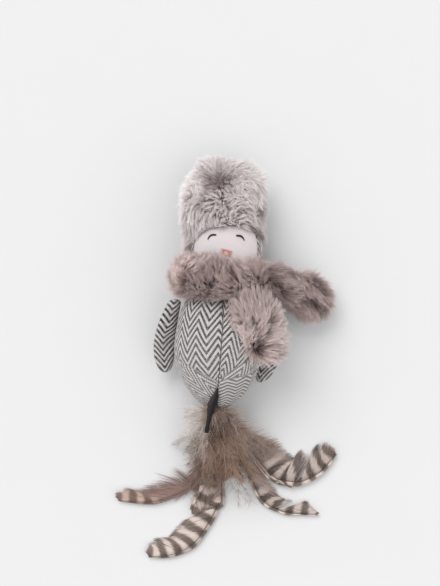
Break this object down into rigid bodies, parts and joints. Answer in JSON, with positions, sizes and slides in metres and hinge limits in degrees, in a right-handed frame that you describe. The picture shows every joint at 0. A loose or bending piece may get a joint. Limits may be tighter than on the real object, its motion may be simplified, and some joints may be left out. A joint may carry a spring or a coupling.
{
  "type": "plush bird cat toy",
  "caption": "Plush winter bird for a cat: herringbone tweed body, white face, tall fur hat, fur scarf with loose ends, wings, and a tail of down and barred feathers.",
  "frame": {"origin": "middle of the small flat on the body's back, where the toy rests on its back", "axes": "+Y from the tail feathers to the hat, +Z from the back to the face, +X towards the bird's own left"},
  "size_m": [0.1261, 0.2296, 0.0525],
  "materials": {
    "tweed": "herringbone weave",
    "fleece": "brushed fleece",
    "eye_thread": "satin stitch",
    "beak_thread": "satin stitch",
    "beak_filling": "flat stitch",
    "hat_fur": "frosted fur",
    "scarf_fur": "frosted fur",
    "down": "down",
    "feather": "barred vane",
    "binding_thread": "whipped thread",
    "suede": "suede",
    "wadding": "loose fibre",
    "cotton": "plain weave",
    "film": "crinkled film",
    "rattle_case": "moulded",
    "pellet": "moulded"
  },
  "bodies": {
    "torso": {"body_front_left": "tweed", "body_front_right": "tweed", "body_back": "tweed", "head_hood": "tweed", "face_panel": "fleece", "eye_left": "eye_thread", "eye_right": "eye_thread", "beak_outline": "beak_thread", "beak_fill": "beak_filling", "hat": "hat_fur", "scarf_collar": "scarf_fur", "wadding_front": "wadding", "wadding_back": "wadding", "head_wadding": "wadding", "hat_wadding": "wadding", "catnip_pouch": "cotton", "crinkle_film": "film", "rattle_cup": "rattle_case", "rattle_lid": "rattle_case"},
    "wing_right": {"wing_right_top": "tweed", "wing_right_under": "tweed"},
    "wing_left": {"wing_left_top": "tweed", "wing_left_under": "tweed"},
    "scarf_side": {"scarf_end_side": "scarf_fur"},
    "scarf_front": {"scarf_end_front": "scarf_fur"},
    "tail": {"tail_binding": "binding_thread", "down_front": "down", "down_back": "down"},
    "tab": {"tail_tab": "suede"},
    "feather_far_right": {"feather_far_right": "feather"},
    "feather_low_right": {"feather_low_right": "feather"},
    "feather_short": {"feather_short": "feather"},
    "feather_low_left": {"feather_low_left": "feather"},
    "feather_slim": {"feather_slim": "feather"},
    "feather_far_left": {"feather_far_left": "feather"},
    "pellet_1": {"rattle_pellet_1": "pellet"},
    "pellet_2": {"rattle_pellet_2": "pellet"},
    "pellet_3": {"rattle_pellet_3": "pellet"}
  },
  "joints": [
    {"name": "wing_right_flap", "type": "hinge", "parent": "torso", "child": "wing_right", "pos_m": [-0.0246, 0.0282, 0.023], "axis": [0, 0, -1], "range_deg": [0, 45]},
    {"name": "wing_left_flap", "type": "hinge", "parent": "torso", "child": "wing_left", "pos_m": [0.0242, 0.0276, 0.021], "axis": [0, 0, 1], "range_deg": [0, 36]},
    {"name": "scarf_side_lift", "type": "hinge", "parent": "torso", "child": "scarf_side", "pos_m": [0.0253, 0.0406, 0.0415], "axis": [0, -1, 0], "range_deg": [0, 60]},
    {"name": "scarf_front_lift", "type": "hinge", "parent": "torso", "child": "scarf_front", "pos_m": [0.017, 0.0308, 0.0525], "axis": [-1, 0, 0], "range_deg": [0, 80]},
    {"name": "tail_swing", "type": "hinge", "parent": "torso", "child": "tail", "pos_m": [0, -0.0336, 0.022], "axis": [0, 0, 1], "range_deg": [-12, 12]},
    {"name": "tab_swing", "type": "hinge", "parent": "torso", "child": "tab", "pos_m": [-0.0004, -0.0216, 0.0384], "axis": [0, 0, 1], "range_deg": [-12, 12]},
    {"name": "feather_far_right_bend", "type": "hinge", "parent": "tail", "child": "feather_far_right", "pos_m": [-0.00476, -0.03927, 0.022], "axis": [0, 0, 1], "range_deg": [-6, 6]},
    {"name": "feather_low_right_bend", "type": "hinge", "parent": "tail", "child": "feather_low_right", "pos_m": [-0.00265, -0.04051, 0.022], "axis": [0, 0, 1], "range_deg": [-6, 6]},
    {"name": "feather_short_bend", "type": "hinge", "parent": "tail", "child": "feather_short", "pos_m": [-0.00052, -0.04098, 0.022], "axis": [0, 0, 1], "range_deg": [-6, 6]},
    {"name": "feather_low_left_bend", "type": "hinge", "parent": "tail", "child": "feather_low_left", "pos_m": [0.00204, -0.04071, 0.022], "axis": [0, 0, 1], "range_deg": [-6, 6]},
    {"name": "feather_slim_bend", "type": "hinge", "parent": "tail", "child": "feather_slim", "pos_m": [0.00414, -0.03973, 0.022], "axis": [0, 0, 1], "range_deg": [-6, 6]},
    {"name": "feather_far_left_bend", "type": "hinge", "parent": "tail", "child": "feather_far_left", "pos_m": [0.00567, -0.03836, 0.022], "axis": [0, 0, 1], "range_deg": [-6, 6]},
    {"name": "pellet_1_rattle", "type": "slide", "parent": "torso", "child": "pellet_1", "axis": [0, 0, 1], "range_m": [0, 0.004]},
    {"name": "pellet_2_rattle", "type": "slide", "parent": "torso", "child": "pellet_2", "axis": [0, 0, 1], "range_m": [0, 0.004]},
    {"name": "pellet_3_rattle", "type": "slide", "parent": "torso", "child": "pellet_3", "axis": [0, 0, 1], "range_m": [0, 0.004]}
  ]
}
